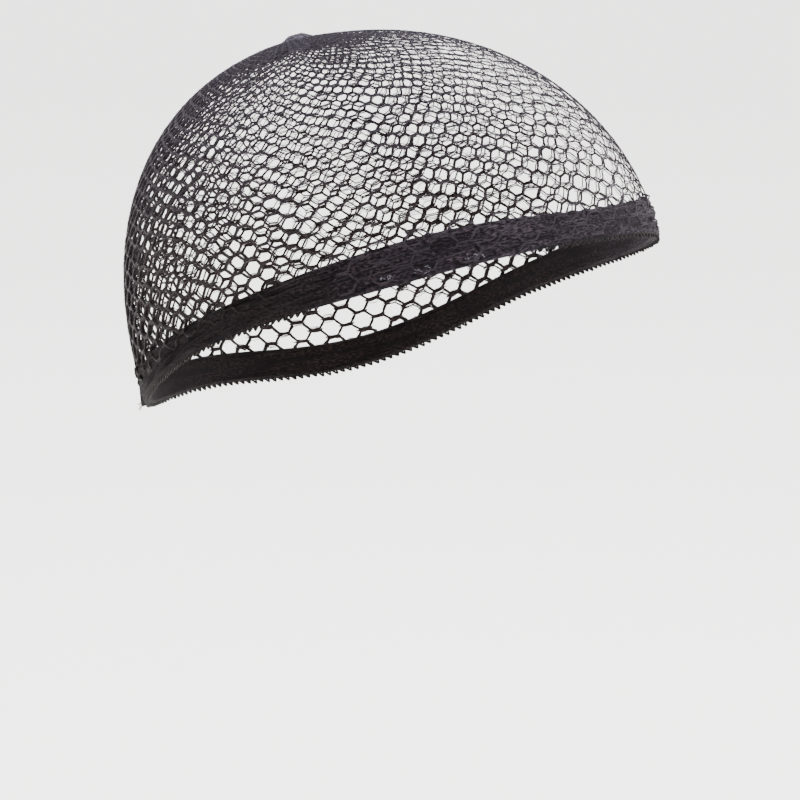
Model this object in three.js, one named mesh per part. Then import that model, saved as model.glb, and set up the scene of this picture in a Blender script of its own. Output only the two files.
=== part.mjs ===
// A wig cap: a dome of coarse black net, gathered in a knot at the crown and sewn to an elastic band.
// Millimetres, +Z is the wearer's up, -Y the front, -X the wearer's right.
// The origin is the centre of the opening that the head goes into.
import * as THREE from "three";

// The cap, measured over its outside
const CAP_LENGTH = 190;
const CAP_BREADTH = 151;
const CAP_HEIGHT = 98;
const CROWN_SETBACK = 9;
const WORN_TILT = THREE.MathUtils.degToRad(23);

// How the outside curves from the opening to the crown, one row for each side that it is seen from.
// widest is the share of the height where the cap is widest, round the power of the curve above it,
// and corner the power of the plan curve between that side and the ears.
const PROFILES = {
  front: { widest: 0.05, round: 1.8, corner: 2.34 },
  side: { widest: 0.1, round: 2.25 },
  back: { widest: -0.1, round: 2.25, corner: 2.06 },
};

// The elastic band, one row for each 45 degrees from the forehead round to the nape.
// rise lifts its lower edge off the plane of the opening, as a share of the height of the cap,
// and width is a share of the band's full width.
const BAND_WIDTH = 13;
const BAND_WALL = 1.4;
const BAND_TABLE = [
  { rise: -0.011, width: 0.77 },
  { rise: -0.004, width: 1.0 },
  { rise: 0.028, width: 0.73 },
  { rise: -0.03, width: 0.77 },
  { rise: 0.025, width: 0.8 },
];
const EDGE_STEPS = 720;

// The band's lower edge is turned under in a roll: shares of the band's depth, and of the height
// that the net leaves bare, from the inside out.
const ROLL_TABLE = [
  { depth: 1, up: 0.2 },
  { depth: 0.55, up: 0 },
  { depth: 0.12, up: 0.2 },
  { depth: 0, up: 0.4 },
];

// The net, whose hem laps over the upper part of the band
const NET_WALL = 1.2;
const NET_BAR = 2.4;
const NET_LAP = 5;
const NET_HEM = 3;
const NET_ROWS = 6;
const NET_COLUMN_PAIRS = 9;
const BAR_SHARE = 0.15;

// The gathers round the crown, and the knot that closes them
const GATHER_RADIUS = 15;
const PLEAT_PLACE = 0.5;
const PLEAT_DEPTH = 0.5;
const KNOT_NECK = 3.2;
const KNOT_BRIM = 1.2;
const KNOT_HEIGHT = 2.4;
const KNOT_TAIL = 1.5;
const KNOT_SIDES = 24;

// The knot's rounding over its brim and under its tail: shares of its radius and of its height there
const KNOT_TOP = [
  { out: 1, up: 0 },
  { out: 0.96, up: 0.45 },
  { out: 0.7, up: 0.85 },
  { out: 0, up: 1 },
];
const KNOT_FOOT = [
  { out: 0, up: 0 },
  { out: 0.75, up: 0 },
  { out: 1, up: 0.6 },
];

// The air between pieces that are sewn together
const GAP = 0.3;

// Finishes
const COLOURS = { net: 0x2a2426, band: 0x1c1a1e, knot: 0x241f22 };

const columns = 2 * NET_COLUMN_PAIRS;
const rows = NET_ROWS + 0.5;
const frontReach = CAP_LENGTH / 2 + CROWN_SETBACK;
const backReach = CAP_LENGTH / 2 - CROWN_SETBACK;

// Half of a superellipse: how far out the cap reaches at a share of its height.
function reachAt(reach, profile, share) {
  const climb = Math.abs((share - profile.widest) / (1 - profile.widest));
  return reach * Math.max(1 - climb ** profile.round, 0) ** (1 / profile.round);
}

// A point of the outside. The angle runs from the forehead over the wearer's right ear.
function outsidePoint(angle, share) {
  const ahead = Math.cos(angle);
  const aside = Math.sin(angle);
  const facing = ahead > 0 ? PROFILES.front : PROFILES.back;
  const reach = reachAt(ahead > 0 ? frontReach : backReach, facing, share);
  const half = reachAt(CAP_BREADTH / 2, PROFILES.side, share);
  const { corner } = facing;
  const plan = (Math.abs(ahead) ** corner + Math.abs(aside) ** corner) ** (-1 / corner);
  return new THREE.Vector3(-half * plan * aside, CROWN_SETBACK - reach * plan * ahead, share * CAP_HEIGHT);
}

// A point below the outside by a depth, square to it.
function capPoint(angle, share, depth) {
  const step = 1e-3;
  const along = outsidePoint(angle + step, share).sub(outsidePoint(angle - step, share));
  const upper = Math.min(share + step, 1 - step);
  const up = outsidePoint(angle, upper).sub(outsidePoint(angle, upper - step));
  const inward = along.cross(up).normalize();
  return outsidePoint(angle, share).addScaledVector(inward, depth);
}

// A value of the band's table at any angle, by a smooth curve through its rows, alike on both sides.
function bandValue(column, angle) {
  const turn = Math.abs(Math.atan2(Math.sin(angle), Math.cos(angle))) / Math.PI;
  const last = BAND_TABLE.length - 1;
  const row = Math.min(Math.floor(turn * last), last - 1);
  const part = turn * last - row;
  const [a, b, c, d] = [-1, 0, 1, 2].map((shift) => {
    const at = Math.abs(row + shift);
    return BAND_TABLE[at > last ? 2 * last - at : at][column];
  });
  return 0.5 * (2 * b + (c - a) * part + (2 * a - 5 * b + 4 * c - d) * part ** 2
    + (3 * b - a - 3 * c + d) * part ** 3);
}

const bandWidth = (angle) => BAND_WIDTH * bandValue("width", angle);

// The value in one rising list that stands where a given value stands in another.
function matching(list, others, value) {
  const found = list.findIndex((entry) => entry > value);
  const next = found < 1 ? (found < 0 ? list.length - 1 : 1) : found;
  const part = (value - list[next - 1]) / (list[next] - list[next - 1]);
  return others[next - 1] + part * (others[next] - others[next - 1]);
}

// The way up the outside at one angle, from the band's lower edge to the crown.
const meridians = new Map();
function meridian(angle) {
  const key = Math.round(angle * 1e6);
  if (!meridians.has(key)) {
    const steps = 160;
    const start = bandValue("rise", angle);
    const shares = [start];
    const lengths = [0];
    let before = outsidePoint(angle, start);
    for (let i = 1; i <= steps; i += 1) {
      const share = start + (1 - start) * (1 - (1 - i / steps) ** 2);
      const here = outsidePoint(angle, share);
      lengths.push(lengths[i - 1] + here.distanceTo(before));
      shares.push(share);
      before = here;
    }
    meridians.set(key, { shares, lengths, total: lengths[steps] });
  }
  return meridians.get(key);
}

// A point a distance up that way from the band's lower edge, at a depth below the outside.
function pointUp(angle, distance, depth) {
  const { shares, lengths } = meridian(angle);
  return capPoint(angle, matching(lengths, shares, distance), depth);
}

// A solid that grows face by face. A face's corners run along the angle first and then upwards,
// which is clockwise seen from outside.
class Body {
  constructor() {
    this.corners = [];
    this.faces = [];
    this.shared = new Map();
  }

  corner(place) {
    this.corners.push(place);
    return this.corners.length - 1;
  }

  sharedCorner(key, place) {
    if (!this.shared.has(key)) {
      this.shared.set(key, this.corner(place()));
    }
    return this.shared.get(key);
  }

  face(...ring) {
    for (let i = 2; i < ring.length; i += 1) {
      this.faces.push([ring[0], ring[i], ring[i - 1]]);
    }
  }

  // The faces between two rings of corners, which go the same way round.
  strip(lower, upper) {
    lower.forEach((corner, index) => {
      const next = (index + 1) % lower.length;
      this.face(corner, lower[next], upper[next], upper[index]);
    });
  }

  mesh(name, colour, roughness) {
    const geometry = new THREE.BufferGeometry();
    const places = this.corners.flatMap((corner) => corner.toArray());
    geometry.setAttribute("position", new THREE.Float32BufferAttribute(places, 3));
    geometry.setIndex(this.faces.flat());
    geometry.computeVertexNormals();
    const material = new THREE.MeshStandardMaterial({ color: colour, roughness, metalness: 0 });
    const mesh = new THREE.Mesh(geometry, material);
    mesh.name = name;
    return mesh;
  }
}

// The net's own grid: columns count round the cap, evenly along the band's edge, and rows count up
// from the hem to the gathers, where every other column ends in half a cell.
const edgeAngles = Array.from({ length: EDGE_STEPS + 1 }, (_, step) => (step / EDGE_STEPS) * 2 * Math.PI);
const edgeLengths = [0];
edgeAngles.slice(1).forEach((angle, step) => {
  const before = outsidePoint(edgeAngles[step], bandValue("rise", edgeAngles[step]));
  const here = outsidePoint(angle, bandValue("rise", angle));
  edgeLengths.push(edgeLengths[step] + here.distanceTo(before));
});

function columnAngle(column) {
  const turns = Math.floor(column / columns);
  const length = (column / columns - turns) * edgeLengths[EDGE_STEPS];
  return turns * 2 * Math.PI + matching(edgeLengths, edgeAngles, length);
}

// Three corners to a column, which the net and the band share so that their faces lie alike.
const thirds = Array.from({ length: 3 * columns }, (_, third) => third);
const hemTop = (angle) => bandWidth(angle) - NET_LAP + NET_HEM;
const gatherFoot = (angle) => meridian(angle).total - GATHER_RADIUS;
const rowHeight = (angle) => (gatherFoot(angle) - hemTop(angle)) / rows;

function columnWidth(column, row) {
  const [left, right] = [columnAngle(column - 0.5), columnAngle(column + 0.5)].map((angle) =>
    pointUp(angle, hemTop(angle) + row * rowHeight(angle), 0));
  return left.distanceTo(right);
}

// The mesh's two kinds of cell, as corners round the centre of the cell in columns and rows,
// each with the number of straight steps to the next corner.
const HEXAGON = [
  { column: -1 / 3, row: -1 / 2, steps: 2 },
  { column: 1 / 3, row: -1 / 2, steps: 1 },
  { column: 2 / 3, row: 0, steps: 1 },
  { column: 1 / 3, row: 1 / 2, steps: 2 },
  { column: -1 / 3, row: 1 / 2, steps: 1 },
  { column: -2 / 3, row: 0, steps: 1 },
];
const LOWER_HALF = [
  { column: -2 / 3, row: 0, steps: 4 },
  { column: 2 / 3, row: 0, steps: 1 },
  { column: 1 / 3, row: 1 / 2, steps: 2 },
  { column: -1 / 3, row: 1 / 2, steps: 1 },
];
const UPPER_HALF = LOWER_HALF.map(({ column, row, steps }) => ({ column: -column, row: -row, steps }));

// The outline of a cell, with its long sides in steps.
function outline(corners) {
  return corners.flatMap((from, index) => {
    const to = corners[(index + 1) % corners.length];
    return Array.from({ length: from.steps }, (_, step) => ({
      column: from.column + (to.column - from.column) * (step / from.steps),
      row: from.row + (to.row - from.row) * (step / from.steps),
    }));
  });
}

// The corners of a cell's hole: each side moved in by half a bar, measured in millimetres.
function holeCorners(corners, centre) {
  const high = rowHeight(columnAngle(centre.column));
  const bar = Math.min(NET_BAR / 2, BAR_SHARE * columnWidth(centre.column, centre.row));
  const flat = corners.map((corner) => new THREE.Vector2(
    corner.column * columnWidth(centre.column, centre.row + corner.row), corner.row * high));
  const sides = flat.map((from, index) => {
    const along = flat[(index + 1) % flat.length].clone().sub(from).normalize();
    const inward = new THREE.Vector2(-along.y, along.x);
    return { start: from.clone().addScaledVector(inward, bar), along };
  });
  return corners.map((corner, index) => {
    const before = sides[(index + sides.length - 1) % sides.length];
    const after = sides[index];
    const way = after.start.clone().sub(before.start);
    const reach = way.cross(after.along) / before.along.cross(after.along);
    const moved = before.start.clone().addScaledVector(before.along, reach);
    const row = moved.y / high;
    return { column: moved.x / columnWidth(centre.column, centre.row + row), row, steps: corner.steps };
  });
}

// The dome of net: a thin wall with a hem, hexagonal holes and a gathered top with a hole for the knot.
// Each ring of corners is made twice, outside and then inside.
function netCrown() {
  const body = new Body();
  const depths = [0, NET_WALL];
  const gridPoint = (column, row, depth) => {
    const angle = columnAngle(column);
    return pointUp(angle, hemTop(angle) + row * rowHeight(angle), depth);
  };
  const gridCorner = (column, row, depth) => {
    const third = (Math.round(column * 3) + 3 * columns) % (3 * columns);
    return body.sharedCorner(`${third} ${row} ${depth}`, () => gridPoint(third / 3, row, depth));
  };
  const wall = ([lowerOut, lowerIn], [upperOut, upperIn]) => {
    body.strip(lowerOut, upperOut);
    body.strip(upperIn, lowerIn);
  };

  const cell = (corners, centre) => {
    const rim = depths.map((depth) => outline(corners).map(({ column, row }) =>
      gridCorner(centre.column + column, centre.row + row, depth)));
    const hole = depths.map((depth) => outline(holeCorners(corners, centre)).map(({ column, row }) =>
      body.corner(gridPoint(centre.column + column, centre.row + row, depth))));
    wall(rim, hole);
    body.strip(...hole);
  };
  for (let column = 0; column < columns; column += 1) {
    const first = column % 2 ? 1 : 0.5;
    for (let row = first; row < first + NET_ROWS; row += 1) {
      cell(HEXAGON, { column, row });
    }
    if (column % 2) {
      cell(LOWER_HALF, { column, row: 0 });
    } else {
      cell(UPPER_HALF, { column, row: rows });
    }
  }

  // The hem below the mesh and the gathers above it
  const gridRing = (row) => depths.map((depth) => thirds.map((third) => gridCorner(third / 3, row, depth)));
  const ring = (distance, pleat) => depths.map((depth) => thirds.map((third) => {
    const angle = columnAngle(third / 3);
    const lift = pleat * Math.cos((third / 3) * 2 * Math.PI);
    return body.corner(pointUp(angle, distance(angle), depth - lift));
  }));
  const hem = ring((angle) => bandWidth(angle) - NET_LAP, 0);
  const mouthRadius = KNOT_NECK + GAP;
  const pleatRadius = mouthRadius + PLEAT_PLACE * (GATHER_RADIUS - mouthRadius);
  const pleats = ring((angle) => meridian(angle).total - pleatRadius, PLEAT_DEPTH);
  const mouth = ring((angle) => meridian(angle).total - mouthRadius, 0);
  body.strip(hem[1], hem[0]);
  wall(hem, gridRing(0));
  wall(gridRing(rows), pleats);
  wall(pleats, mouth);
  body.strip(...mouth);
  return body.mesh("net_crown", COLOURS.net, 0.85);
}

// The elastic band: thick and rolled along its lower edge, thinner where the net laps over it.
function headband() {
  const body = new Body();
  const lapped = NET_WALL + GAP;
  const inside = lapped + BAND_WALL;
  const rings = thirds.map((third) => {
    const angle = columnAngle(third / 3);
    const top = bandWidth(angle);
    const shoulder = top - NET_LAP - GAP;
    const section = [
      ...ROLL_TABLE.map(({ depth, up }) => ({ depth: depth * inside, up: up * shoulder })),
      { depth: 0, up: shoulder },
      { depth: lapped, up: shoulder },
      { depth: lapped, up: top },
      { depth: inside, up: top },
    ];
    return section.map(({ depth, up }) => body.corner(pointUp(angle, up, depth)));
  });
  rings.forEach((ring, third) => {
    const beside = rings[(third + 1) % rings.length];
    ring.forEach((corner, index) => {
      const next = (index + 1) % ring.length;
      body.face(corner, beside[index], beside[next], ring[next]);
    });
  });
  return body.mesh("headband", COLOURS.band, 0.8);
}

// The knot: a round button of drawn yarn over the gathers, its neck through them and its tail inside.
function crownKnot() {
  const inside = -NET_WALL - KNOT_TAIL;
  const profile = [
    ...KNOT_FOOT.map(({ out, up }) => [KNOT_NECK * out, inside + KNOT_TAIL * up]),
    [KNOT_NECK, GAP],
    ...KNOT_TOP.map(({ out, up }) => [(KNOT_NECK + KNOT_BRIM) * out, GAP + KNOT_HEIGHT * up]),
  ].map(([radius, height]) => new THREE.Vector2(radius, height));
  const geometry = new THREE.LatheGeometry(profile, KNOT_SIDES);
  geometry.rotateX(Math.PI / 2);
  const material = new THREE.MeshStandardMaterial({ color: COLOURS.knot, roughness: 0.85, metalness: 0 });
  const mesh = new THREE.Mesh(geometry, material);
  mesh.name = "crown_knot";
  mesh.position.set(0, CROWN_SETBACK, CAP_HEIGHT);
  return mesh;
}

const wigCap = new THREE.Group();
wigCap.add(netCrown(), headband(), crownKnot());
wigCap.rotation.x = -WORN_TILT;

export default wigCap;
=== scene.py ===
import math

import bmesh
import bpy
import numpy as np
from mathutils import Matrix, Vector


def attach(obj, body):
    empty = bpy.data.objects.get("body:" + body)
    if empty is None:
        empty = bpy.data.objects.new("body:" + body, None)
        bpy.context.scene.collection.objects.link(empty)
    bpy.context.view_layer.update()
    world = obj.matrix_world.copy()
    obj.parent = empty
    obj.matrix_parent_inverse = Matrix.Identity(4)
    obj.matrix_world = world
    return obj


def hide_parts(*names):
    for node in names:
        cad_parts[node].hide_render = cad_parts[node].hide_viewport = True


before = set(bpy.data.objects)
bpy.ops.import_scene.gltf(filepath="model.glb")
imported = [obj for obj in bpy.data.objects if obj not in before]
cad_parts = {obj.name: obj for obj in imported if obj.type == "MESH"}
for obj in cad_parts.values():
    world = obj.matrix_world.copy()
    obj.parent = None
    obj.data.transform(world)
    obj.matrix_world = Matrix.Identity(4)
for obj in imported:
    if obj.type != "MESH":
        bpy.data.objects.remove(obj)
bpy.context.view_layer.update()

# The camera: a long lens before the cap's right side as worn, a little above the band's height.
CAMERA_TURN = math.radians(-46)
CAMERA_RISE = math.radians(11)
CAMERA_ROLL = math.radians(0.4)
CAMERA_DISTANCE = 1.3
CAMERA_AIM = Vector((0, -0.0018, -0.0273))
SENSOR_WIDTH = 36
LENS = 177.5

camera_data = bpy.data.cameras.new("camera")
camera_data.lens = LENS
camera_data.sensor_width = SENSOR_WIDTH
camera = bpy.data.objects.new("camera", camera_data)
bpy.context.scene.collection.objects.link(camera)
away = Vector((
    math.sin(CAMERA_TURN) * math.cos(CAMERA_RISE),
    -math.cos(CAMERA_TURN) * math.cos(CAMERA_RISE),
    math.sin(CAMERA_RISE)))
camera_right = Vector((math.cos(CAMERA_TURN), math.sin(CAMERA_TURN), 0))
camera_axes = Matrix((camera_right, away.cross(camera_right), away)).transposed()
camera.matrix_world = (
    Matrix.Translation(CAMERA_AIM + away * CAMERA_DISTANCE)
    @ camera_axes.to_4x4() @ Matrix.Rotation(CAMERA_ROLL, 4, "Z"))
bpy.context.scene.camera = camera


# Studio sweep: a round floor of matt white paper that curves up into a wall on every side.
# It stands well below the cap, so the cap's own shadow falls soft and out of the way.
SWEEP_FLOOR = -0.30
SWEEP_RADIUS = 3.2
SWEEP_CURVE = 1.4
SWEEP_CURVE_STEPS = 12
SWEEP_WALL = 4.0
SWEEP_SEGMENTS = 96
SWEEP_WHITE = "#fdfcfb"


def linear(colour):
    """An sRGB hex colour as the linear RGBA that a shader wants."""
    parts = [int(colour[i:i + 2], 16) / 255 for i in (1, 3, 5)]
    return (*(c / 12.92 if c <= 0.04045 else ((c + 0.055) / 1.055) ** 2.4 for c in parts), 1)


def add_node(tree, kind, inputs=(), **settings):
    """Adds a node, with its settings, and its inputs as pairs of socket and value or link."""
    node = tree.nodes.new(kind)
    for name, value in settings.items():
        setattr(node, name, value)
    for socket, value in inputs:
        if isinstance(value, bpy.types.NodeSocket):
            tree.links.new(value, node.inputs[socket])
        else:
            node.inputs[socket].default_value = value
    return node


def new_material(name):
    """An empty material and its node tree."""
    material = bpy.data.materials.new(name)
    material.use_nodes = True
    material.node_tree.nodes.clear()
    return material, material.node_tree


def finish_material(tree, shader):
    """Sends a shader to the surface."""
    add_node(tree, "ShaderNodeOutputMaterial", [("Surface", shader.outputs[0])])


def closed_mesh(bm, name):
    """Turns a finished bmesh's faces outwards and keeps it as a mesh."""
    bmesh.ops.recalc_face_normals(bm, faces=bm.faces)
    mesh = bpy.data.meshes.new(name)
    bm.to_mesh(mesh)
    bm.free()
    return mesh


def mesh_object(name, mesh, material):
    """An object at the origin that shows a mesh in one material."""
    piece = bpy.data.objects.new(name, mesh)
    bpy.context.scene.collection.objects.link(piece)
    mesh.materials.append(material)
    mesh.shade_smooth()
    return piece


# Matt coated paper: it has no gloss to speak of, so floor and wall run together in one pale field
paper, tree = new_material("matt_white_paper")
finish_material(tree, add_node(tree, "ShaderNodeBsdfPrincipled", [
    ("Base Color", linear(SWEEP_WHITE)), ("Roughness", 0.9), ("Specular IOR Level", 0.2)]))

bm = bmesh.new()
profile = [bm.verts.new((0, 0, SWEEP_FLOOR))]
for step in range(SWEEP_CURVE_STEPS + 1):
    bend = step / SWEEP_CURVE_STEPS * math.pi / 2
    profile.append(bm.verts.new((
        SWEEP_RADIUS + SWEEP_CURVE * math.sin(bend), 0,
        SWEEP_FLOOR + SWEEP_CURVE * (1 - math.cos(bend)))))
profile.append(bm.verts.new((SWEEP_RADIUS + SWEEP_CURVE, 0, SWEEP_FLOOR + SWEEP_WALL)))
edges = [bm.edges.new(pair) for pair in zip(profile, profile[1:])]
bmesh.ops.spin(
    bm, geom=profile + edges, cent=(0, 0, 0), axis=(0, 0, 1), angle=math.tau,
    steps=SWEEP_SEGMENTS, use_merge=True)
bmesh.ops.remove_doubles(bm, verts=bm.verts, dist=1e-5)
mesh_object("studio_sweep", closed_mesh(bm, "studio_sweep"), paper)


# Studio light: a big soft box high before the cap, a weak one at its right side, one nearly overhead,
# and an even white room.
ROOM_WHITE = "#ffffff"
ROOM_STRENGTH = 3.2
SOFT_BOXES = [
    {"name": "key", "turn": -5, "rise": 42, "distance": 1.6, "size": 1.3, "watts": 30},
    {"name": "fill", "turn": -105, "rise": 25, "distance": 1.9, "size": 1.4, "watts": 2},
    {"name": "top", "turn": 120, "rise": 80, "distance": 1.6, "size": 1.0, "watts": 44},
]

world = bpy.data.worlds.new("white_room")
world.use_nodes = True
bpy.context.scene.world = world
world.node_tree.nodes["Background"].inputs["Color"].default_value = linear(ROOM_WHITE)
world.node_tree.nodes["Background"].inputs["Strength"].default_value = ROOM_STRENGTH
for box in SOFT_BOXES:
    lamp = bpy.data.lights.new(box["name"], "AREA")
    lamp.size = box["size"]
    lamp.energy = box["watts"]
    turn, rise = math.radians(box["turn"]), math.radians(box["rise"])
    toward = Vector((
        math.sin(turn) * math.cos(rise), -math.cos(turn) * math.cos(rise), math.sin(rise)))
    light = bpy.data.objects.new(box["name"], lamp)
    light.location = toward * box["distance"]
    light.rotation_euler = toward.to_track_quat("Z", "Y").to_euler()
    bpy.context.scene.collection.objects.link(light)


# Net crown, outer layer: a tube of hexagon net, warp-knitted from crimped black nylon and stretched to
# a dome. Two yarns run side by side along each cell's level edges and part along its slanting ones, and
# loose filaments of the crimped yarn fan out between them. Lengths are in mm, as the cap is worn.
MM = 0.001
CAP_LENGTH = 190
CAP_BREADTH = 151
CAP_HEIGHT = 98
CROWN_SETBACK = 9
WORN_TILT = math.radians(23)
PROFILES = {
    "front": {"widest": 0.05, "round": 1.8, "corner": 2.34},
    "side": {"widest": 0.1, "round": 2.25},
    "back": {"widest": -0.1, "round": 2.25, "corner": 2.06},
}
BAND_WIDTH = 13
BAND_TABLE = {
    "rise": (-0.011, -0.004, 0.028, -0.03, 0.025),
    "width": (0.77, 1.0, 0.73, 0.77, 0.8),
}


def band_value(column, angle):
    """A value of the band's table at any angle. The table runs from the front to the back, alike on
    both sides, and a Catmull-Rom curve joins its rows."""
    rows = np.array(BAND_TABLE[column])
    last = len(rows) - 1
    mirrored = np.concatenate([rows[1:2], rows, rows[-2:-1]])
    turn = np.abs(np.arctan2(np.sin(angle), np.cos(angle))) / math.pi * last
    row = np.minimum(np.floor(turn), last - 1).astype(int)
    part = turn - row
    a, b, c, d = (mirrored[row + step] for step in range(4))
    return 0.5 * (2 * b + (c - a) * part + (2 * a - 5 * b + 4 * c - d) * part ** 2
                  + (3 * b - a - 3 * c + d) * part ** 3)


def reach_at(reach, profile, share):
    """Half of a superellipse: how far out the cap reaches at a share of its height."""
    climb = np.abs((share - profile["widest"]) / (1 - profile["widest"]))
    return reach * np.maximum(1 - climb ** profile["round"], 0) ** (1 / profile["round"])


def outside(angle, share):
    """Points of the cap's outside, in mm, upright. The angle starts at the front and runs over the
    right side."""
    ahead, aside = np.cos(angle), np.sin(angle)
    reach = np.where(
        ahead > 0,
        reach_at(CAP_LENGTH / 2 + CROWN_SETBACK, PROFILES["front"], share),
        reach_at(CAP_LENGTH / 2 - CROWN_SETBACK, PROFILES["back"], share))
    half = reach_at(CAP_BREADTH / 2, PROFILES["side"], share)
    corner = np.where(ahead > 0, PROFILES["front"]["corner"], PROFILES["back"]["corner"])
    plan = (np.abs(ahead) ** corner + np.abs(aside) ** corner) ** (-1 / corner)
    return np.stack([
        -half * plan * aside, CROWN_SETBACK - reach * plan * ahead, share * CAP_HEIGHT], -1)


# The way round along the band's lower edge, and the ways up to the crown, as tables to look up. The
# steps up are closer near the crown, where the dome turns level.
EDGE_STEPS = 720
CLIMB_STEPS = 240
edge_angles = np.arange(EDGE_STEPS + 1) / EDGE_STEPS * math.tau
edge_points = outside(edge_angles, band_value("rise", edge_angles))
edge_lengths = np.concatenate([[0], np.linalg.norm(np.diff(edge_points, axis=0), axis=1).cumsum()])
GIRTH = edge_lengths[-1]
climb_parts = 1 - (1 - np.arange(CLIMB_STEPS + 1) / CLIMB_STEPS) ** 2
climb_shares = np.empty((EDGE_STEPS + 1, CLIMB_STEPS + 1))
climb_totals = np.empty(EDGE_STEPS + 1)
for row, (start, angle) in enumerate(zip(band_value("rise", edge_angles), edge_angles)):
    shares = start + (1 - start) * climb_parts
    points = outside(np.full(len(shares), angle), shares)
    lengths = np.concatenate([[0], np.linalg.norm(np.diff(points, axis=0), axis=1).cumsum()])
    climb_totals[row] = lengths[-1]
    climb_shares[row] = np.interp(np.linspace(0, lengths[-1], CLIMB_STEPS + 1), lengths, shares)


def angle_at(turn):
    """The angle at a share of the way round, which starts at the front."""
    return np.interp(np.mod(turn, 1) * GIRTH, edge_lengths, edge_angles)


def way_up(turn):
    """The length from the band's lower edge to the crown, in mm."""
    return np.interp(angle_at(turn), edge_angles, climb_totals)


def band_width(turn):
    """The band's width, in mm."""
    return BAND_WIDTH * band_value("width", angle_at(turn))


def from_front(turn):
    """The length along the band from the front, in mm, positive over the right side."""
    return (np.mod(np.asarray(turn) + 0.5, 1) - 0.5) * GIRTH


def upright_to_worn(place):
    """Turns points of the upright cap, in mm, to its worn lean, in metres."""
    x, y, z = place[..., 0], place[..., 1], place[..., 2]
    sin, cos = math.sin(-WORN_TILT), math.cos(-WORN_TILT)
    return np.stack([x, y * cos - z * sin, y * sin + z * cos], -1) * MM


# The cap's slopes are taken over a small step, and no nearer to the crown than this share of its height
SLOPE_STEP = 1e-3
SLOPE_TOP = 0.997


def on_cap(turn, up, out):
    """Places cloth on the cap: shares of the way round, mm up from the band's lower edge and mm out
    from the outside, as points in metres."""
    turn, up, out = np.broadcast_arrays(*(np.asarray(v, float) for v in (turn, up, out)))
    angle = angle_at(turn)
    column = angle / math.tau * EDGE_STEPS
    left = np.minimum(column.astype(int), EDGE_STEPS - 1)
    part = column - left
    row = np.clip(up / way_up(turn), 0, 1) * CLIMB_STEPS
    low = np.minimum(row.astype(int), CLIMB_STEPS - 1)
    rest = row - low
    share = sum(
        climb_shares[left + i, low + j] * (part if i else 1 - part) * (rest if j else 1 - rest)
        for i in (0, 1) for j in (0, 1))
    near = np.minimum(share, SLOPE_TOP)
    along = outside(angle + SLOPE_STEP, near) - outside(angle - SLOPE_STEP, near)
    rise = outside(angle, near + SLOPE_STEP) - outside(angle, near - SLOPE_STEP)
    square = np.cross(rise, along)
    square /= np.linalg.norm(square, axis=-1, keepdims=True)
    rise /= np.linalg.norm(rise, axis=-1, keepdims=True)
    place = outside(angle, share) + square * out[..., None] + rise * np.minimum(up, 0)[..., None]
    return upright_to_worn(place)


# How the net hangs: its cells are wider at the front, and its drift fades out at its foot and its top.
# Half of a cell's level edge is this part of a column, by the length from the front. No yarn hangs below
# the lowest one, in mm above the band's lower edge.
BROW_STRETCH = 0.1
DRIFT_FADE = {"foot": 6, "top": 4}
LEVEL_HALF = ((30, 110), (0.35, 0.31))
LOWEST_YARN = 1.1

# How the yarn lies: four points along a cell's level edge and one halfway up the slanting edge after it.
# It is loose on the level edge, and pulled a little towards its next row at the edge's ends.
LEVEL_POINTS = (-1, -0.5, 0.5, 1)
SLANT_POINT = 0.5
LOOSE = (0.45, 1, 1, 0.45, 0)
PULL = (0.04, 0, 0, 0.04, 0)
BESIDE_SPREAD = (0.5, 1.3)
YARN_UNEVEN = 0.06

# How full the crimped yarn is, by the length from the front, and by the share of the way up
FULLNESS = ((20, 80, 140, 185, 280), (0.72, 0.9, 1.68, 2.1, 1.45))
THINNED = ((0.28, 0.62, 0.88), (1, 0.73, 0.57))

# How the loose filaments bow out of a level edge, and how many more there are low at the sides and back
FILAMENT_ACROSS = (-0.46, -0.22, 0.16, 0.42)
FILAMENT_BOW = (0.3, 1, 0.9, 0.2)
FILAMENT_STRAY = {"along": 0.05, "up": 0.12, "out": 0.15}
FILAMENT_STAND = 0.05
SLACK_FILAMENTS = ((80, 150), (1, 3.4))
SLACK_ROWS = 0.45


def fullness(turn, up):
    """How thick the crimped yarn looks against its mean: thin where it is stretched over the front and
    towards the crown, full low over the sides and the back, where it is slack."""
    return np.interp(np.abs(from_front(turn)), *FULLNESS) * np.interp(up / way_up(turn), *THINNED)


def yarn_mesh(name, yarns, roundness):
    """A mesh of yarns. Each has points in metres, radii in mm, and may close on itself. Roundness
    nought gives four-sided yarns, and one gives six-sided ones."""
    curve = bpy.data.curves.new(name, "CURVE")
    curve.dimensions = "3D"
    curve.twist_mode = "MINIMUM"
    curve.bevel_depth = MM
    curve.bevel_resolution = roundness
    curve.use_fill_caps = True
    for points, radii, closed in yarns:
        spline = curve.splines.new("POLY")
        spline.points.add(len(points) - 1)
        spline.points.foreach_set("co", np.column_stack([points, np.ones(len(points))]).ravel())
        spline.points.foreach_set("radius", np.broadcast_to(radii, len(points)).astype(float))
        spline.use_cyclic_u = closed
    holder = bpy.data.objects.new(name, curve)
    bpy.context.scene.collection.objects.link(holder)
    bpy.context.view_layer.update()
    depsgraph = bpy.context.evaluated_depsgraph_get()
    mesh = bpy.data.meshes.new_from_object(holder.evaluated_get(depsgraph))
    bpy.data.objects.remove(holder)
    mesh.name = name
    return mesh


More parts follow.
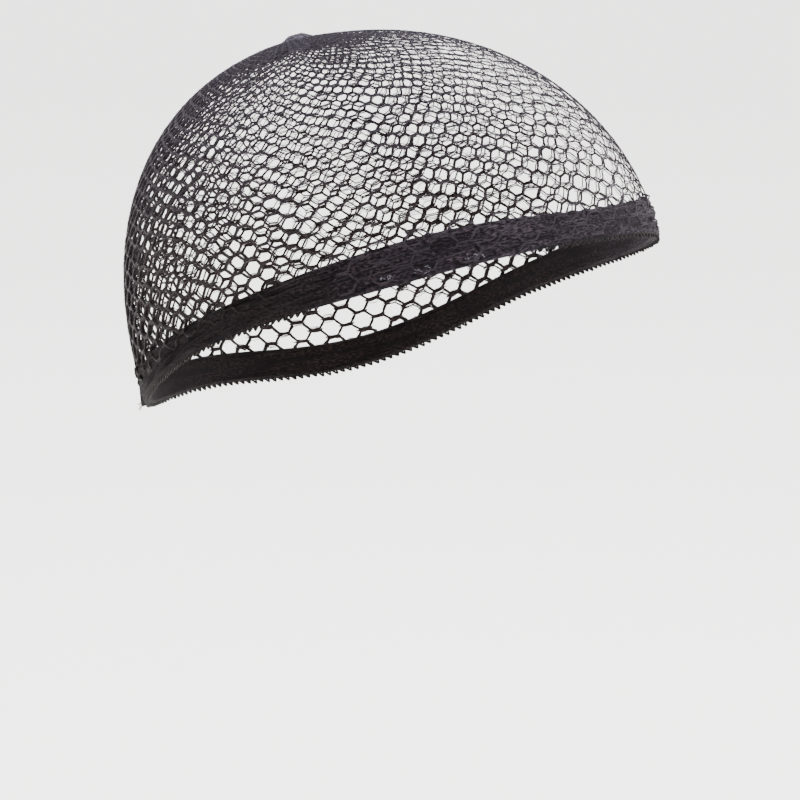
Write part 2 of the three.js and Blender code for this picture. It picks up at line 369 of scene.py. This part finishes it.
def net_grid(ply, column, row):
    """Where a net's grid point lies: its share of the way round, and its height in mm."""
    turn = column / ply["columns"]
    turn = turn + BROW_STRETCH * np.sin(math.tau * turn) / math.tau
    part = row / ply["rows"]
    foot = band_width(turn) - ply["lap"]
    room = way_up(turn) - ply["gather"] - foot
    up = foot + room * (part + ply["ease"] * part * (1 - part))
    fade = np.clip(part * DRIFT_FADE["foot"], 0, 1) * np.clip((1 - part) * DRIFT_FADE["top"], 0, 1)
    wave = [(size * fade, math.tau * waves * turn + phase, math.tau * climbs * part)
            for size, waves, climbs, phase in ply["drift"]]
    drift = sum(size * np.sin(round_phase + climb_phase) for size, round_phase, climb_phase in wave)
    sag = sum(size * np.cos(round_phase - climb_phase) for size, round_phase, climb_phase in wave)
    return turn + (ply["lean"] * up + drift) / GIRTH, up + sag


def net_yarns(ply, rows, columns, seed):
    """The two zigzag yarns of each row. One steps up and one steps down from the even columns, and
    between the columns each is drawn tight, while along the level edges it lies loose."""
    rng = np.random.default_rng(seed)
    count = len(columns)
    half_flat = np.interp(np.abs(from_front(columns / ply["columns"])), *LEVEL_HALF)[:, None]
    across = np.hstack([half_flat * LEVEL_POINTS, np.full((count, 1), SLANT_POINT)])
    loose = np.array(LOOSE)
    width = np.tile(ply["radius"] + (ply["loose_radius"] - ply["radius"]) * loose, count)
    where = (columns[:, None] + across).ravel()
    odd = columns % 2
    yarns = []
    for row in rows:
        for way in (1, -1):
            toward = way * np.where(odd, -1, 1)
            level = (row + way * 0.5 * odd)[:, None] + toward[:, None] * PULL
            level[:, -1] = row + way * 0.5 * SLANT_POINT
            turn, up = net_grid(ply, where, level.ravel())
            side = (toward[:, None] * loose).ravel()
            slack = ply["slack"] * rng.normal(0, 1, (2, len(turn)))
            beside = ply["beside"] * np.repeat(rng.uniform(*BESIDE_SPREAD, count), len(LOOSE))
            out = ply["out"] + ply["depth"](turn, up) + 0.5 * slack[0] * rng.normal(0, 1)
            lifted = np.maximum(up + side * beside + slack[1], LOWEST_YARN)
            radii = width * fullness(turn, up) * rng.normal(1, YARN_UNEVEN, len(turn))
            yarns.append((on_cap(turn + slack[0] / GIRTH, lifted, out), radii, count == ply["columns"]))
    return yarns


def loose_filaments(ply, rows, columns, seed):
    """Fine filaments that bow out of the level edges of the cells, most of them where the net is slack,
    low over the sides and the back."""
    rng = np.random.default_rng(seed)
    points = len(FILAMENT_ACROSS)
    filaments = []
    for column in columns:
        slack = np.interp(abs(from_front(column / ply["columns"])), *SLACK_FILAMENTS)
        for row in rows:
            level = row + 0.5 * (column % 2)
            if level > rows[-1]:
                continue
            more = slack if row < SLACK_ROWS * rows[-1] else 1
            for _ in range(int(rng.integers(*ply["filaments"]) * more)):
                swing = rng.normal(0, ply["fan"])
                where = column + FILAMENT_ACROSS + rng.normal(0, FILAMENT_STRAY["along"], points)
                turn, up = net_grid(ply, where, np.full(points, level))
                up = up + np.array(FILAMENT_BOW) * swing + rng.normal(0, FILAMENT_STRAY["up"], points)
                stand = rng.normal(FILAMENT_STAND, FILAMENT_STRAY["out"], points)
                radii = ply["filament_radius"] * fullness(turn, up)
                filaments.append((
                    on_cap(turn, up, ply["out"] + ply["depth"](turn, up) + stand), radii, False))
    return filaments


TUCK_DEPTH = 0.45
TUCK_ABOVE = 0.6
TUCK_RUN = 1.2


def under_band(turn, up):
    """How far in the net lies, where it runs down behind the band's top edge."""
    return -TUCK_DEPTH * np.clip((band_width(turn) + TUCK_ABOVE - up) / TUCK_RUN, 0, 1)


# Painted light: between these heights in mm the yarn's colour turns a greyer violet, for light from above
PAINTED_CROWN_LIGHT = "#292632"
PAINTED_CROWN_LIGHT_RISE = (25, 95)
PAINTED_CROWN_LIGHT_SHARE = 0.5
DYE_PATCH = 9
FIBRE = 0.25
FIBRE_RELIEF = 0.12


def nylon(name, shade, light, sheen):
    """Crimped nylon yarn, piece-dyed black: matt, with a faint sheen of fine filaments at its edges and
    uneven dye in soft patches. The yarn is stretched open towards the crown, and there a greyer violet is
    mixed into its colour by height: painted light, for the light from above that catches the yarn there.
    The fibres are drawn coarser than they are, so that they still break the light."""
    material, tree = new_material(name)
    place = add_node(tree, "ShaderNodeTexCoord")
    patches = add_node(tree, "ShaderNodeTexNoise", [
        ("Vector", place.outputs["Object"]), ("Scale", 1 / (DYE_PATCH * MM)), ("Detail", 4.0)])
    fibres = add_node(tree, "ShaderNodeTexNoise", [
        ("Vector", place.outputs["Object"]), ("Scale", 1 / (FIBRE * MM)), ("Detail", 2.0)])
    blend = add_node(tree, "ShaderNodeMix", [
        (0, patches.outputs["Fac"]), (6, linear(shade)), (7, linear(light))], data_type="RGBA")
    # Painted light: a greyer violet mixed in by height, more of it towards the crown
    rise = add_node(tree, "ShaderNodeSeparateXYZ", [("Vector", place.outputs["Object"])])
    crown_light_paint = add_node(tree, "ShaderNodeMapRange", [
        ("Value", rise.outputs["Z"]), ("From Min", PAINTED_CROWN_LIGHT_RISE[0] * MM), ("From Max", PAINTED_CROWN_LIGHT_RISE[1] * MM),
        ("To Max", PAINTED_CROWN_LIGHT_SHARE)])
    crown_light_painted = add_node(tree, "ShaderNodeMix", [
        (0, crown_light_paint.outputs[0]), (6, blend.outputs[2]), (7, linear(PAINTED_CROWN_LIGHT))], data_type="RGBA")
    bump = add_node(tree, "ShaderNodeBump", [
        ("Height", fibres.outputs["Fac"]), ("Strength", 0.6), ("Distance", FIBRE_RELIEF * MM)])
    finish_material(tree, add_node(tree, "ShaderNodeBsdfPrincipled", [
        ("Base Color", crown_light_painted.outputs[2]), ("Roughness", 0.62), ("Normal", bump.outputs[0]),
        ("Specular IOR Level", 0.09), ("Sheen Weight", sheen), ("Sheen Roughness", 0.45),
        ("Sheen Tint", linear("#b9aec4"))]))
    return material


# The outer layer's yarn is a warm black that hardly shines
outer_nylon = nylon("crimped_nylon_outer", "#0d0807", "#1a1315", 0.045)

# A layer's measures, in mm: how far its hem laps the band and its gathers stay short of the crown, how
# much taller its low cells are, its lean to the side for each mm up, and how far out it lies. Then come
# its two yarns, their slack, and the filaments of each edge: how many, how far they fan, how thick. The
# drift is a sum of waves, each with its size, its waves round and up, and its phase.
outer_ply = {
    "columns": 88, "rows": 26, "lap": 1.2, "gather": 8, "ease": 0.3, "lean": -0.05,
    "out": -0.15, "depth": under_band, "beside": 0.22, "radius": 0.3, "loose_radius": 0.24,
    "slack": 0.06, "filaments": (1, 3), "fan": 0.4, "filament_radius": 0.075,
    "drift": [(1.1, 3, 0.7, 0.4), (0.7, 7, 1.6, 2.1), (0.4, 13, 2.3, 4.0)],
}
outer_rows = range(outer_ply["rows"] + 1)
outer_columns = np.arange(outer_ply["columns"])
net_outer = mesh_object("net_outer_ply", yarn_mesh(
    "net_outer_ply", net_yarns(outer_ply, outer_rows, outer_columns, seed=11),
    roundness=0), outer_nylon)
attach(net_outer, "root")
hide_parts("net_crown")
outer_fuzz = mesh_object("net_outer_filaments", yarn_mesh(
    "net_outer_filaments", loose_filaments(outer_ply, outer_rows, outer_columns, seed=12),
    roundness=0), outer_nylon)
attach(outer_fuzz, "root")
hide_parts("net_crown")


# Net crown, inner layer: the other half of the same tube, folded inside. It is drawn finer over the
# dome, and the two layers drift in and out of step.

# The same nylon, which looks a little browner where less light falls on it
inner_nylon = nylon("crimped_nylon_inner", "#120b09", "#211819", 0.06)
inner_ply = {
    "columns": 88, "rows": 26, "lap": 1.4, "gather": 8, "ease": 0.3, "lean": -0.07,
    "out": -0.95, "depth": under_band, "beside": 0.3, "radius": 0.17, "loose_radius": 0.13,
    "slack": 0.08, "filaments": (1, 3), "fan": 0.6, "filament_radius": 0.06,
    "drift": [(1.3, 2, 0.9, 1.7), (0.9, 5, 1.3, 0.3), (0.5, 11, 2.7, 2.9)],
}
inner_rows = range(inner_ply["rows"] + 1)
inner_columns = np.arange(inner_ply["columns"])
net_inner = mesh_object("net_inner_ply", yarn_mesh(
    "net_inner_ply", net_yarns(inner_ply, inner_rows, inner_columns, seed=21),
    roundness=0), inner_nylon)
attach(net_inner, "root")
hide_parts("net_crown")
inner_fuzz = mesh_object("net_inner_filaments", yarn_mesh(
    "net_inner_filaments", loose_filaments(inner_ply, inner_rows, inner_columns, seed=22),
    roundness=0), inner_nylon)
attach(inner_fuzz, "root")
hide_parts("net_crown")


# Headband: a tape of black elastic warp knit, 10 to 13 mm wide as stretched, sewn round the net's hem.
# The knit is fine and close, the tape creases along its length, a sewn groove runs round it, and its
# lower edge is turned under in a roll.
BAND_AROUND = 1080
BAND_COURSES = 30
INNER_COURSES = 14
BAND_WALL = 2.0
BAND_RELIEF = {
    "up": (0.0, 0.25, 0.9, 1.6, 2.1, 3.0, 20.0),
    "out": (-0.5, -0.05, 0.25, 0.12, -0.2, 0.08, 0.12),
}
BAND_OUT = 0.3
EDGE_OUT = -0.6
EDGE_ROUND = 0.5
EDGE_TAPER = 0.6
GROOVE_UP = 4.8
GROOVE_DEPTH = 0.5
GROOVE_HALF = 0.7
CREASES = [
    {"size": 0.34, "waves": 19, "pitch": 3.1, "phase": 0.3},
    {"size": 0.28, "waves": 31, "pitch": 2.3, "phase": 2.2},
    {"size": 0.2, "waves": -23, "pitch": 1.9, "phase": 4.4},
    {"size": 0.28, "waves": -11, "pitch": 3.7, "phase": 1.2},
]
CREASE_SWAY = {"size": 0.9, "waves": 5, "pitch": 9}
CREASE_START = 0.6
CREASE_RUN = 1.5
BROW_REACH = 34
BROW_FADE = 4
BROW_SINK = 0.45
BROW_SMOOTH = 0.75
BROW_SCALLOP = 0.25


def brow_share(turn):
    """One at the front, where the net shows over the band, and nought elsewhere."""
    return 1 / (1 + np.exp((np.abs(from_front(turn)) - BROW_REACH) / BROW_FADE))


def band_face(turn, up):
    """How far out the band's outer face lies, in mm."""
    creases = sum(
        crease["size"] * (1 - 2 * np.abs(np.sin(
            math.pi * (crease["waves"] * turn + up / crease["pitch"]) + crease["phase"]
            + CREASE_SWAY["size"] * np.sin(
                math.tau * (CREASE_SWAY["waves"] * turn + up / CREASE_SWAY["pitch"]) + crease["phase"]))))
        for crease in CREASES)
    settle = np.clip((up - CREASE_START) / CREASE_RUN, 0, 1) * (1 - BROW_SMOOTH * brow_share(turn))
    groove = GROOVE_DEPTH * (1 - brow_share(turn)) * np.exp(-((up - GROOVE_UP) / GROOVE_HALF) ** 2)
    relief = np.interp(up, BAND_RELIEF["up"], BAND_RELIEF["out"])
    return BAND_OUT - BROW_SINK * brow_share(turn) + relief - groove + creases * settle


# A flat grid is wrapped round the cap: its lower rows climb the outer face, the rest come back down the
# inner face, and its open ends meet. The UV map keeps the flat tape's length and height.
bm = bmesh.new()
bmesh.ops.create_grid(bm, x_segments=BAND_AROUND, y_segments=BAND_COURSES + INNER_COURSES, size=0.5)
flat_map = bm.loops.layers.uv.new("cloth")
section = np.array([v.co.y + 0.5 for v in bm.verts])
turns = np.array([v.co.x + 1.0 for v in bm.verts])
alongs = (turns - 1) * GIRTH
scallops = np.sin(math.tau * outer_ply["columns"] * turns) * brow_share(turns)
widths = band_width(turns) + BROW_SCALLOP * scallops
outer_share = BAND_COURSES / (BAND_COURSES + INNER_COURSES)
on_face = section <= outer_share
climbing = np.where(on_face, section / outer_share, (1 - section) / (1 - outer_share))
heights = widths * climbing
rounding = np.clip((widths - heights) / EDGE_ROUND, 0, 1) ** 0.5
face = band_face(turns, heights) * rounding + (1 - rounding) * EDGE_OUT
inset = np.minimum(np.minimum(heights, widths - heights) / EDGE_TAPER, 1)
inner = EDGE_OUT - (BAND_WALL - BAND_OUT) * inset
places = on_cap(turns, heights, np.where(on_face, face, inner))
for cell in bm.faces:
    for loop in cell.loops:
        index = loop.vert.index
        loop[flat_map].uv = (alongs[index] * MM, heights[index] * MM)
for vert, place in zip(bm.verts, places):
    vert.co = place
bmesh.ops.remove_doubles(bm, verts=bm.verts, dist=2e-6)
band_mesh = closed_mesh(bm, "headband")

# Elastic warp knit, nylon over rubber, dyed black: dull and velvety. Towards the front its loops and
# their tufts are painted a lighter slate grey, as painted light for the light that falls on them there,
# and painted dark streaks along the tape stand for the shade in its creases. The loops are drawn a little
# coarser than real ones, as coarse as they need to show. Sizes are in mm along and up the tape.
WALE_PITCH = 0.55
COURSE_PITCH = 0.495
FLUFF = 0.5
LOOP_RELIEF = 0.25
TUFT = (1.5, 0.55)
PAINTED_FOLD_SHADE = (22, 2.4)
PAINTED_FRONT_LIGHT_FADE = (118, 38)

elastic, tree = new_material("elastic_warp_knit")
cloth = add_node(tree, "ShaderNodeUVMap", uv_map="cloth")
split = add_node(tree, "ShaderNodeSeparateXYZ", [("Vector", cloth.outputs["UV"])])
along_knit = add_node(tree, "ShaderNodeMath", [
    (0, split.outputs["X"]), (1, math.tau / (WALE_PITCH * MM))], operation="MULTIPLY")
up_knit = add_node(tree, "ShaderNodeMath", [
    (0, split.outputs["Y"]), (1, math.tau / (COURSE_PITCH * MM))], operation="MULTIPLY")
wales = add_node(tree, "ShaderNodeMath", [(0, along_knit.outputs[0])], operation="SINE")
courses = add_node(tree, "ShaderNodeMath", [(0, up_knit.outputs[0])], operation="SINE")
loops = add_node(tree, "ShaderNodeMath", [
    (0, wales.outputs[0]), (1, courses.outputs[0])], operation="MULTIPLY")
place = add_node(tree, "ShaderNodeTexCoord")
fluff = add_node(tree, "ShaderNodeTexNoise", [
    ("Vector", place.outputs["Object"]), ("Scale", 1 / (FLUFF * MM)), ("Detail", 3.0)])
height = add_node(tree, "ShaderNodeMath", [
    (0, loops.outputs[0]), (1, 0.5), (2, fluff.outputs["Fac"])], operation="MULTIPLY_ADD")
bump = add_node(tree, "ShaderNodeBump", [
    ("Height", height.outputs[0]), ("Strength", 1.0), ("Distance", LOOP_RELIEF * MM)])
aside = add_node(tree, "ShaderNodeMath", [(0, split.outputs["X"])], operation="ABSOLUTE")
# Painted light: the knit turns a lighter slate grey towards the front, where the light falls on it
painted_front_light = add_node(tree, "ShaderNodeMapRange", [
    ("Value", aside.outputs[0]), ("From Min", PAINTED_FRONT_LIGHT_FADE[0] * MM), ("From Max", PAINTED_FRONT_LIGHT_FADE[1] * MM)])
along_tape = add_node(tree, "ShaderNodeMapping", [
    ("Vector", cloth.outputs["UV"]), ("Scale", (1 / (TUFT[0] * MM), 1 / (TUFT[1] * MM), 1))])
tufts = add_node(tree, "ShaderNodeTexNoise", [
    ("Vector", along_tape.outputs[0]), ("Scale", 1.0), ("Detail", 2.0)])
# Painted shade: dark streaks along the tape stand for the shade in its creases
along_painted_fold_shade = add_node(tree, "ShaderNodeMapping", [
    ("Vector", cloth.outputs["UV"]), ("Scale", (1 / (PAINTED_FOLD_SHADE[0] * MM), 1 / (PAINTED_FOLD_SHADE[1] * MM), 1))])
painted_fold_shade = add_node(tree, "ShaderNodeTexNoise", [
    ("Vector", along_painted_fold_shade.outputs[0]), ("Scale", 1.0), ("Detail", 3.0)])
painted_fold_shade_factor = add_node(tree, "ShaderNodeMapRange", [
    ("Value", painted_fold_shade.outputs["Fac"]), ("From Min", 0.38), ("From Max", 0.58), ("To Min", 0.3)])
tufted = add_node(tree, "ShaderNodeMapRange", [
    ("Value", tufts.outputs["Fac"]), ("From Min", 0.42), ("From Max", 0.66)])
knit_light = add_node(tree, "ShaderNodeMath", [
    (0, loops.outputs[0]), (1, 0.3), (2, tufted.outputs[0])], operation="MULTIPLY_ADD")
lit_loops = add_node(tree, "ShaderNodeMath", [
    (0, knit_light.outputs[0]), (1, painted_fold_shade_factor.outputs[0])], operation="MULTIPLY")
black = add_node(tree, "ShaderNodeMix", [
    (0, lit_loops.outputs[0]), (6, linear("#020101")), (7, linear("#211917"))], data_type="RGBA")
slate = add_node(tree, "ShaderNodeMix", [
    (0, lit_loops.outputs[0]), (6, linear("#050405")), (7, linear("#3b333b"))], data_type="RGBA")
shade = add_node(tree, "ShaderNodeMix", [
    (0, painted_front_light.outputs[0]), (6, black.outputs[2]), (7, slate.outputs[2])], data_type="RGBA")
finish_material(tree, add_node(tree, "ShaderNodeBsdfPrincipled", [
    ("Base Color", shade.outputs[2]), ("Roughness", 0.7), ("Normal", bump.outputs[0]),
    ("Specular IOR Level", 0.05), ("Sheen Weight", 0.03), ("Sheen Roughness", 0.5),
    ("Sheen Tint", linear("#9d97b4"))]))
headband = mesh_object("headband_tape", band_mesh, elastic)
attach(headband, "root")
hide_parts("headband")


# Hem lap: round the front, from temple to temple, the net's lowest cells lie over the band and show on
# it as a faint relief. From the sides round the back the net's last row laps over the band's top edge
# and is sewn into the band there.
BROW_COLUMNS = np.arange(-14, 15)
BROW_ROWS = (-1, 0)
LAP_SINK = 0.14
TEMPLE_REACH = 86
TEMPLE_SINK = 0.1
SIDE_COLUMNS = np.arange(17, 72)
SIDE_ROWS = (0,)
EDGE_BELOW = 0.5
EDGE_ABOVE = 1.5


def lapped_over(turn, up):
    """How far out the lowest cells lie: a little sunk into the band, and gone past the temples."""
    past = np.maximum(np.abs(from_front(turn)) - TEMPLE_REACH, 0)
    return band_face(turn, up) - LAP_SINK * (1 - brow_share(turn)) - TEMPLE_SINK * past


def over_edge(turn, up):
    """How far out the net's last row lies: on the band's face, and back on the dome just above it."""
    top = band_width(turn)
    return band_face(turn, np.minimum(up, top - EDGE_BELOW)) * np.clip(top + EDGE_ABOVE - up, 0, 1)


# Where the net lies on the band it is lit from the front, so its black is a shade lighter
lap_nylon = nylon("lapped_nylon", "#141014", "#2b252a", 0.05)
lap_ply = dict(outer_ply, out=0.16, radius=0.34, loose_radius=0.3, beside=0.36, depth=lapped_over)
hem_lap = mesh_object("hem_lap_yarns", yarn_mesh(
    "hem_lap_yarns", net_yarns(lap_ply, BROW_ROWS, BROW_COLUMNS, seed=13), roundness=1), lap_nylon)
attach(hem_lap, "root")
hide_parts("net_crown")

# In the seam at the band's top edge the yarn lies in its own shade, and looks plain black
edge_nylon = nylon("edge_nylon", "#050302", "#110c0b", 0.02)
edge_ply = dict(outer_ply, out=0.1, beside=0.5, slack=0.25, depth=over_edge)
edge_lap = mesh_object("hem_lap_ears", yarn_mesh(
    "hem_lap_ears", net_yarns(edge_ply, SIDE_ROWS, SIDE_COLUMNS, seed=14), roundness=0), edge_nylon)
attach(edge_lap, "root")
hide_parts("net_crown")


# Picot edge: one thick yarn looped along the band's lower edge in small leaning teeth. Over the right
# temple the edge is rolled under, so its teeth lie behind the band there.
PICOT_PITCH = 2.5
PICOT_DROP = 1.15
PICOT_LEAN = 0.25
PICOT_RADIUS = 0.42
PICOT_SHAPE = [(0, 0.0), (0.25, 0.15), (0.46, 0.75), (0.56, 1.0), (0.66, 0.8), (0.8, 0.15)]
PICOT_SEAT = {"up": 0.35, "out": -0.35, "splay": 0.15, "uneven": 0.1}
ROLLED = {"start": 24, "fade_in": 5, "end": 104, "fade_out": 6, "up": 1.6, "in": 1.2}

teeth = round(GIRTH / PICOT_PITCH)
steps = np.array([(tooth + part + PICOT_LEAN * drop, drop)
                  for tooth in range(teeth) for part, drop in PICOT_SHAPE])
rng = np.random.default_rng(31)
tooth_turn = steps[:, 0] / teeth
ahead = from_front(tooth_turn)
rolled = (np.clip((ahead - ROLLED["start"]) / ROLLED["fade_in"], 0, 1)
          * np.clip((ROLLED["end"] - ahead) / ROLLED["fade_out"], 0, 1))
size = np.repeat(rng.normal(1, PICOT_SEAT["uneven"], teeth), len(PICOT_SHAPE))
tooth_up = PICOT_SEAT["up"] - PICOT_DROP * steps[:, 1] * size + ROLLED["up"] * rolled
tooth_out = PICOT_SEAT["out"] + PICOT_SEAT["splay"] * steps[:, 1] - ROLLED["in"] * rolled

# A thick twisted nylon yarn, the deepest black of the cap, with hardly any sheen
picot_nylon = nylon("picot_yarn", "#030201", "#0d0905", 0.01)
picot = mesh_object("picot_edge", yarn_mesh("picot_edge", [
    (on_cap(tooth_turn, tooth_up, tooth_out), PICOT_RADIUS, True)], roundness=1), picot_nylon)
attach(picot, "root")
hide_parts("headband")


# Nape seam: the tape's two raw ends are put face to face and sewn, and stand out as a short stiff tab,
# with a few pale frayed ends of the elastic's core at its lower corner.
SEAM_AT = 228
SEAM_THICK = 1.5
SEAM_STAND = 3.4
SEAM_ROOT = 0.8
SEAM_CUTS = 7
SEAM_UP = 0.1
SEAM_PINCH = {"size": 0.35, "swing": 5}
SEAM_CURL = 1.1
SEAM_TAPER = 0.45
SEAM_UNEVEN = {"out": 0.04, "up": 0.05}

bm = bmesh.new()
bmesh.ops.create_cube(bm, size=1)
bmesh.ops.subdivide_edges(bm, edges=bm.edges, cuts=SEAM_CUTS, use_grid_fill=True)
block = np.array([v.co for v in bm.verts]) + 0.5
across, climb, stand = block[:, 0], block[:, 1], block[:, 2]
rng = np.random.default_rng(33)
seam_turn = np.full(len(block), SEAM_AT / GIRTH)
pinch = 1 - SEAM_PINCH["size"] * stand * np.cos(climb * SEAM_PINCH["swing"])
seam_along = SEAM_THICK * (across - 0.5) * pinch + SEAM_CURL * stand ** 2
seam_out = -SEAM_ROOT + (SEAM_ROOT + SEAM_STAND) * stand * (1 - SEAM_TAPER * climb)
seam_out = seam_out + rng.normal(0, SEAM_UNEVEN["out"], len(block))
seam_up = band_width(seam_turn) * climb + SEAM_UP + rng.normal(0, SEAM_UNEVEN["up"], len(block))
for vert, place in zip(bm.verts, on_cap(seam_turn + seam_along / GIRTH, seam_up, seam_out)):
    vert.co = place

# The knit's cut edge, pressed flat by its stitches: a plainer, greyer black than the band's face
seam_nylon = nylon("seam_knit", "#0b090b", "#1a171b", 0.08)
seam = mesh_object("nape_seam", closed_mesh(bm, "nape_seam"), seam_nylon)
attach(seam, "root")
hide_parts("headband")

FRAYS = 9
FRAY_POINTS = 5
FRAY_RADIUS = 0.08
FRAY_FOOT = {"along": (-0.6, 1.2), "up": (0, 1.4), "below_rim": 0.5}
FRAY_SWING = 0.7
FRAY_DROOP = 1.0
FRAY_REACH = 2.0
FRAY_SHORTEST = 0.5
frays = []
for _ in range(FRAYS):
    start = rng.uniform(*FRAY_FOOT["along"])
    reach = np.linspace(0, 1, FRAY_POINTS)
    swing = rng.normal(0, FRAY_SWING, 2)
    fray_along = SEAM_AT + start + swing[0] * reach ** 2
    fray_up = rng.uniform(*FRAY_FOOT["up"]) + swing[1] * reach - FRAY_DROOP * reach ** 2
    fray_out = SEAM_STAND - FRAY_FOOT["below_rim"] + FRAY_REACH * rng.uniform(FRAY_SHORTEST, 1) * reach
    frays.append((on_cap(fray_along / GIRTH, fray_up, fray_out), FRAY_RADIUS, False))

# The elastic's undyed core: a dull pale grey, the only light fibre on the cap
fray_fibre = nylon("elastic_core_ends", "#77716b", "#a39c94", 0.1)
fray = mesh_object("frayed_ends", yarn_mesh("frayed_ends", frays, roundness=0), fray_fibre)
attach(fray, "root")
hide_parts("headband")


# Stitch ends: short curls of shiny sewing thread that break out of the band's face along its seam
# line over the right temple, and one dark end that hangs below the edge.
STITCH_GROUPS = [(43, 50, 2.7), (58, 65, 2.4), (72, 76, 2.9)]
STITCHES_EACH = 11
STITCH_POINTS = 6
STITCH_RADIUS = 0.075
STITCH_LENGTH = (0.5, 1.1)
STITCH_STRAY = 0.55
STITCH_HEADING = 0.9
STITCH_BEND = 1.8
STITCH_BOW = 0.6
STITCH_STAND = 0.12
STITCH_DIP = 0.5

rng = np.random.default_rng(35)
curls = []
for start, end, middle in STITCH_GROUPS:
    for _ in range(STITCHES_EACH):
        centre_along, centre_up = rng.uniform(start, end), rng.normal(middle, STITCH_STRAY)
        heading, bend = rng.uniform(-STITCH_HEADING, STITCH_HEADING), rng.normal(0, STITCH_BEND)
        length = rng.uniform(*STITCH_LENGTH)
        s = np.linspace(-0.5, 0.5, STITCH_POINTS)
        along = centre_along + length * s * math.cos(heading)
        bow = bend * length * (0.5 ** 2 - s ** 2) * STITCH_BOW
        up = centre_up + length * s * math.sin(heading) + bow
        out = band_face(along / GIRTH, up) + STITCH_STAND - STITCH_DIP * s ** 2
        curls.append((on_cap(along / GIRTH, up, out), STITCH_RADIUS, False))

# Smooth polyester sewing thread, as dark as the band, that shines: its grey colour is a painted glint
# on top of its real gloss, so each curl shows as a grey glint
thread_with_painted_glint, tree = new_material("sewing_thread_painted_glint")
finish_material(tree, add_node(tree, "ShaderNodeBsdfPrincipled", [
    ("Base Color", linear("#4f4c57")), ("Roughness", 0.35), ("Specular IOR Level", 0.5)]))
stitches = mesh_object("stitch_ends", yarn_mesh("stitch_ends", curls, roundness=1), thread_with_painted_glint)
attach(stitches, "root")
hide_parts("headband")

LOOSE_END = {
    "along": (25.2, 24.6, 23.9, 23.2, 22.8, 22.5),
    "up": (0.9, 0.1, -0.6, -1.0, -1.5, -2.2),
    "out": (0.1, 0.3, 0.35, 0.4, 0.5, 0.45),
    "radius": (0.1, 0.13, 0.13, 0.16, 0.24, 0.2),
}
loose_points = on_cap(np.array(LOOSE_END["along"]) / GIRTH, LOOSE_END["up"], LOOSE_END["out"])
loose = mesh_object("loose_thread", yarn_mesh(
    "loose_thread", [(loose_points, LOOSE_END["radius"], False)], roundness=1), picot_nylon)
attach(loose, "root")
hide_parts("headband")


# Crown knot: the tube's end is drawn together and bound, so the net's columns run in under each other
# in tight pleats and make a small rounded button, with the binding sunk into it.
PLEATS = 76
PLEAT_TABLE = {
    "reach": (9.4, 8.2, 6.8, 5.6, 4.6, 4.0, 3.4, 2.4, 1.2, 0.1),
    "rise": (-0.35, -0.2, 0.1, 0.7, 1.3, 1.45, 2.0, 2.5, 2.7, 2.6),
    "radius": (0.16, 0.26, 0.32, 0.33, 0.3, 0.27, 0.28, 0.26, 0.2, 0.16),
}
PLEAT_UNEVEN = {"place": 0.2, "sway": 0.006, "rise": 0.12, "reach": 0.05}
BINDING_TURNS = 3
BINDING_STEPS = 32
BINDING_REACH = 4.1
BINDING_RISE = 1.35
BINDING_PITCH = 0.3
BINDING_RADIUS = 0.22
BINDING_WAVER = {"size": 0.1, "swing": 9}
CORE_SEGMENTS = 40
CORE_RINGS = 20
CORE_REACH = 4.4
CORE_RISE = 2.3
CORE_SINK = 0.2


def at_crown(turn, reach, rise):
    """Points round the crown: shares of the way round, mm out from the knot's middle and mm up from
    the cap's outside."""
    turn, reach, rise = np.broadcast_arrays(turn, reach, rise)
    angle = turn * math.tau
    round_off = PROFILES["side"]["round"]
    drop = CAP_HEIGHT / round_off * (reach / (CAP_BREADTH / 2)) ** round_off
    return upright_to_worn(np.stack([
        -reach * np.sin(angle), CROWN_SETBACK - reach * np.cos(angle), CAP_HEIGHT - drop + rise], -1))


rng = np.random.default_rng(41)
gathers = []
for pleat in range(PLEATS):
    turn = (pleat + rng.normal(0, PLEAT_UNEVEN["place"])) / PLEATS
    sway = rng.normal(0, PLEAT_UNEVEN["sway"], len(PLEAT_TABLE["reach"])).cumsum()
    rise = np.array(PLEAT_TABLE["rise"]) + rng.normal(0, PLEAT_UNEVEN["rise"])
    reach = np.array(PLEAT_TABLE["reach"]) * rng.normal(1, PLEAT_UNEVEN["reach"])
    gathers.append((at_crown(turn + sway, reach, rise), PLEAT_TABLE["radius"], False))
steps = np.arange(BINDING_TURNS * BINDING_STEPS + 1) / BINDING_STEPS
binding_reach = BINDING_REACH + BINDING_WAVER["size"] * np.sin(steps * BINDING_WAVER["swing"])
binding_rise = BINDING_RISE + BINDING_PITCH * (steps - BINDING_TURNS / 2)
gathers.append((at_crown(steps, binding_reach, binding_rise), BINDING_RADIUS, False))

bm = bmesh.new()
bmesh.ops.create_uvsphere(bm, u_segments=CORE_SEGMENTS, v_segments=CORE_RINGS, radius=1)
ball = np.array([v.co for v in bm.verts])
for vert, place in zip(bm.verts, at_crown(
        np.arctan2(ball[:, 0], ball[:, 1]) / math.tau, CORE_REACH * np.hypot(ball[:, 0], ball[:, 1]),
        CORE_RISE * ball[:, 2] - CORE_SINK)):
    vert.co = place
core_mesh = closed_mesh(bm, "crown_bundle")

# Yarn packed tight, whose fine fibres catch more light: the knot looks a soft grey-violet
knot_nylon = nylon("drawn_nylon", "#131015", "#27232b", 0.14)
knot = mesh_object("knot_pleats", yarn_mesh("knot_pleats", gathers, roundness=1), knot_nylon)
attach(knot, "root")
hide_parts("crown_knot")
bundle = mesh_object("crown_bundle", core_mesh, knot_nylon)
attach(bundle, "root")
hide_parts("crown_knot")
